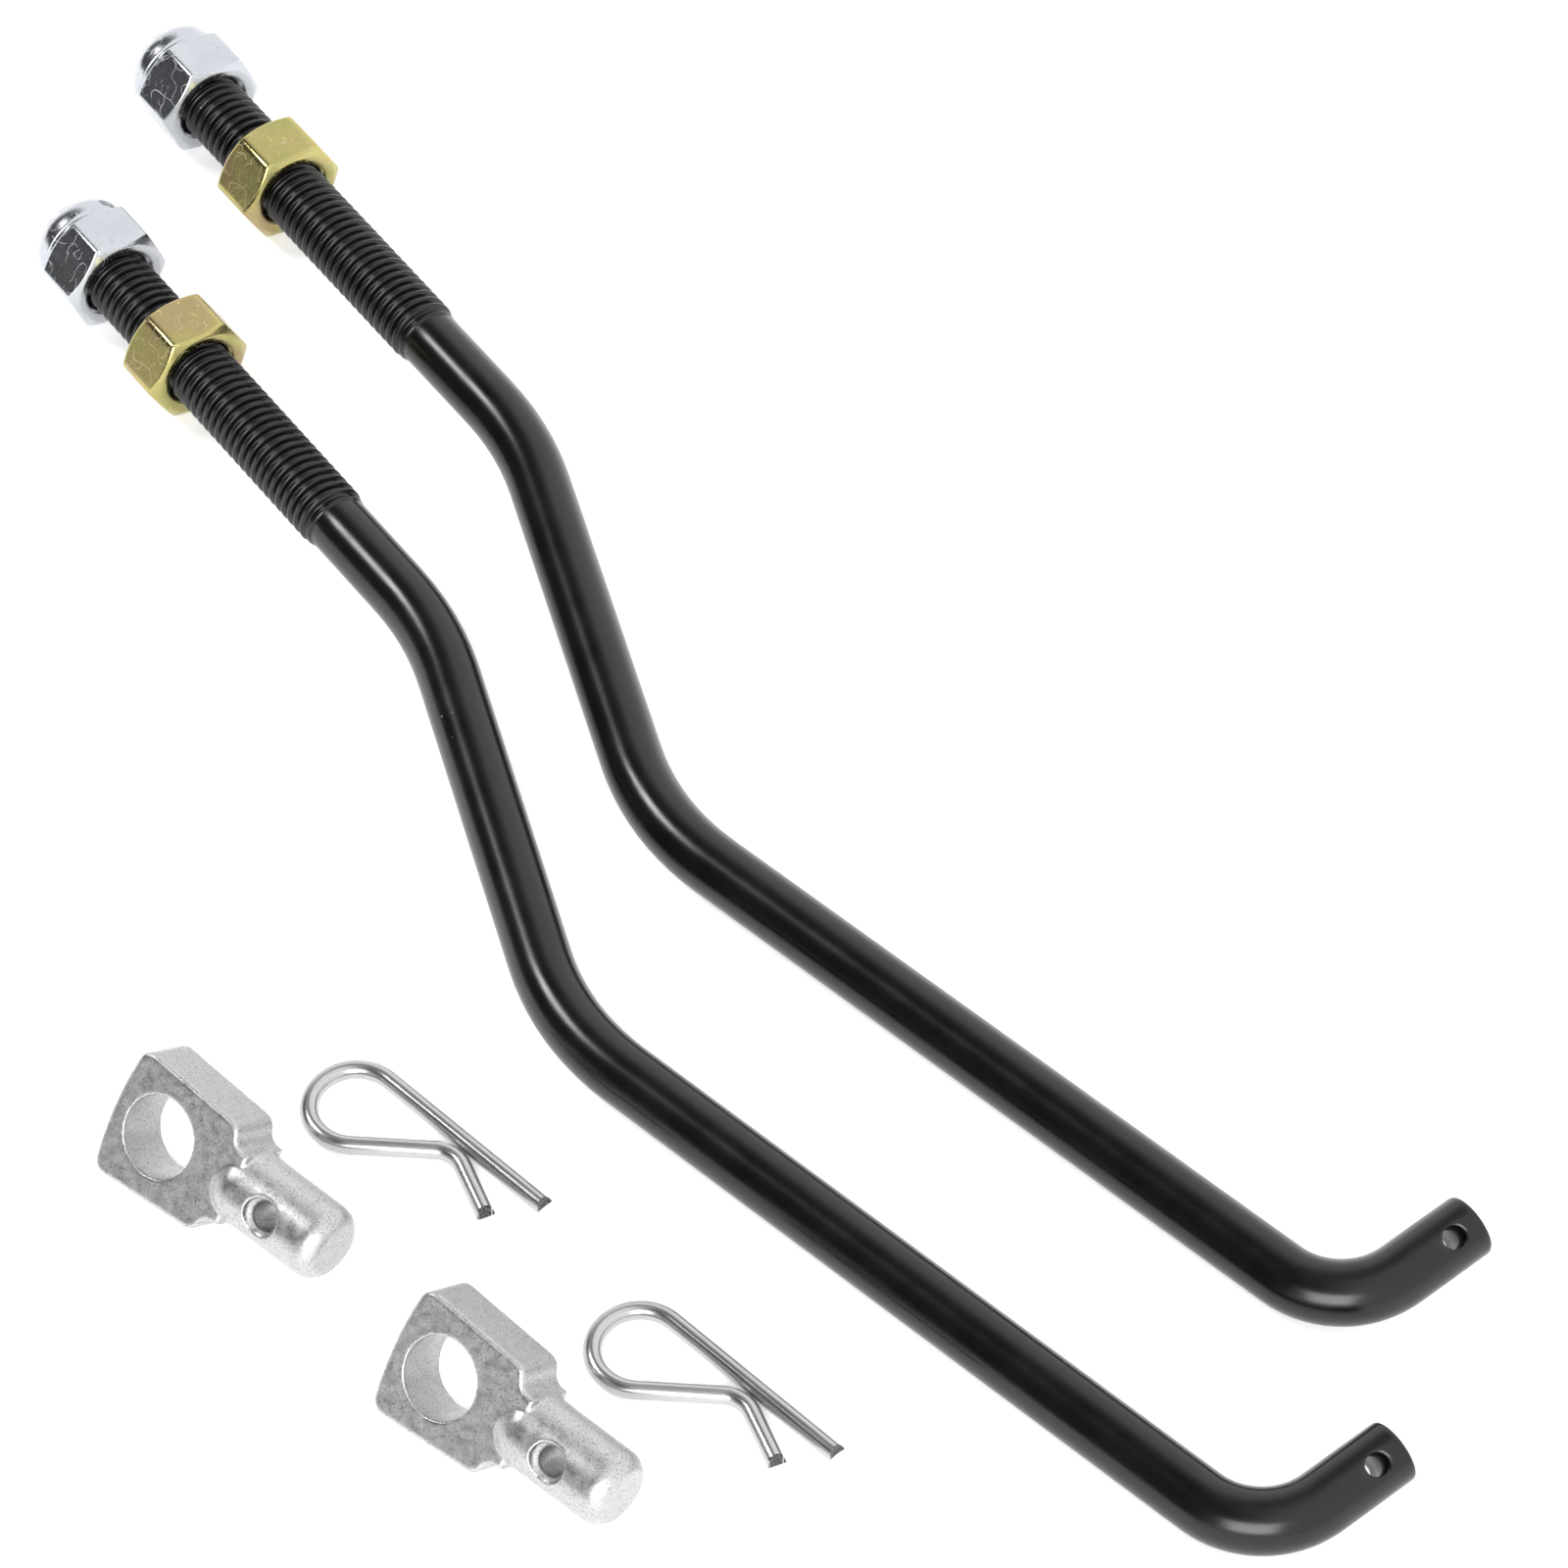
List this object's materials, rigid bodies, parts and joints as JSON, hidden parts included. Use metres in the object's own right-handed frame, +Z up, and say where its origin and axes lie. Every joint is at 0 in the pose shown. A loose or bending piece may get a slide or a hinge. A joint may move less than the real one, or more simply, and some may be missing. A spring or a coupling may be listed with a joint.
{
  "type": "weight distribution hitch cam arm kit",
  "caption": "Bent, threaded cam arms with adjusting nuts, forged swivel eyes and hairpin clips that hold a trailer's spring bars to its frame brackets.",
  "frame": {"origin": "middle of the laid-out kit on the surface it lies on", "axes": "+Z up from the surface; +Y towards the threaded ends, away from the hooked ends; +X towards the hooked ends"},
  "size_m": [0.2562, 0.3325, 0.0249],
  "materials": {
    "black_paint": "semi-gloss black paint",
    "yellow_zinc": "yellow passivated zinc plating",
    "bright_zinc": "bright zinc plating",
    "nylon": "natural nylon",
    "zinc_forging": "zinc plated over a grainy forged skin",
    "zinc_wire": "bright zinc plated spring wire"
  },
  "bodies": {
    "arm_a": {"cam_arm_a": "black_paint"},
    "lock_nut_a": {"lock_nut_a": "bright_zinc", "lock_insert_a": "nylon"},
    "hex_nut_a": {"hex_nut_a": "yellow_zinc"},
    "swivel_eye_a": {"swivel_eye_a": "zinc_forging"},
    "hairpin_clip_a": {"hairpin_clip_a": "zinc_wire"},
    "arm_b": {"cam_arm_b": "black_paint"},
    "lock_nut_b": {"lock_nut_b": "bright_zinc", "lock_insert_b": "nylon"},
    "hex_nut_b": {"hex_nut_b": "yellow_zinc"},
    "swivel_eye_b": {"swivel_eye_b": "zinc_forging"},
    "hairpin_clip_b": {"hairpin_clip_b": "zinc_wire"}
  },
  "joints": [
    {"name": "lock_nut_a_travel", "type": "slide", "parent": "arm_a", "child": "lock_nut_a", "axis": [-0.5966, 0.8024, 0.0154], "range_m": [-0.007, 0.02]},
    {"name": "hex_nut_a_travel", "type": "slide", "parent": "arm_a", "child": "hex_nut_a", "axis": [-0.5966, 0.8024, 0.0154], "range_m": [-0.042, 0.008]},
    {"name": "swivel_eye_a_lift", "type": "slide", "parent": "arm_a", "child": "swivel_eye_a", "axis": [0, 0, 1], "range_m": [0, 0.05]},
    {"name": "hairpin_clip_a_lift", "type": "slide", "parent": "arm_a", "child": "hairpin_clip_a", "axis": [0, 0, 1], "range_m": [0, 0.05]},
    {"name": "arm_b_lift", "type": "slide", "parent": "arm_a", "child": "arm_b", "axis": [0, 0, 1], "range_m": [0, 0.06]},
    {"name": "lock_nut_b_travel", "type": "slide", "parent": "arm_b", "child": "lock_nut_b", "axis": [-0.5966, 0.8024, 0.0154], "range_m": [-0.007, 0.02]},
    {"name": "hex_nut_b_travel", "type": "slide", "parent": "arm_b", "child": "hex_nut_b", "axis": [-0.5966, 0.8024, 0.0154], "range_m": [-0.042, 0.008]},
    {"name": "swivel_eye_b_lift", "type": "slide", "parent": "arm_a", "child": "swivel_eye_b", "axis": [0, 0, 1], "range_m": [0, 0.05]},
    {"name": "hairpin_clip_b_lift", "type": "slide", "parent": "arm_a", "child": "hairpin_clip_b", "axis": [0, 0, 1], "range_m": [0, 0.05]}
  ]
}
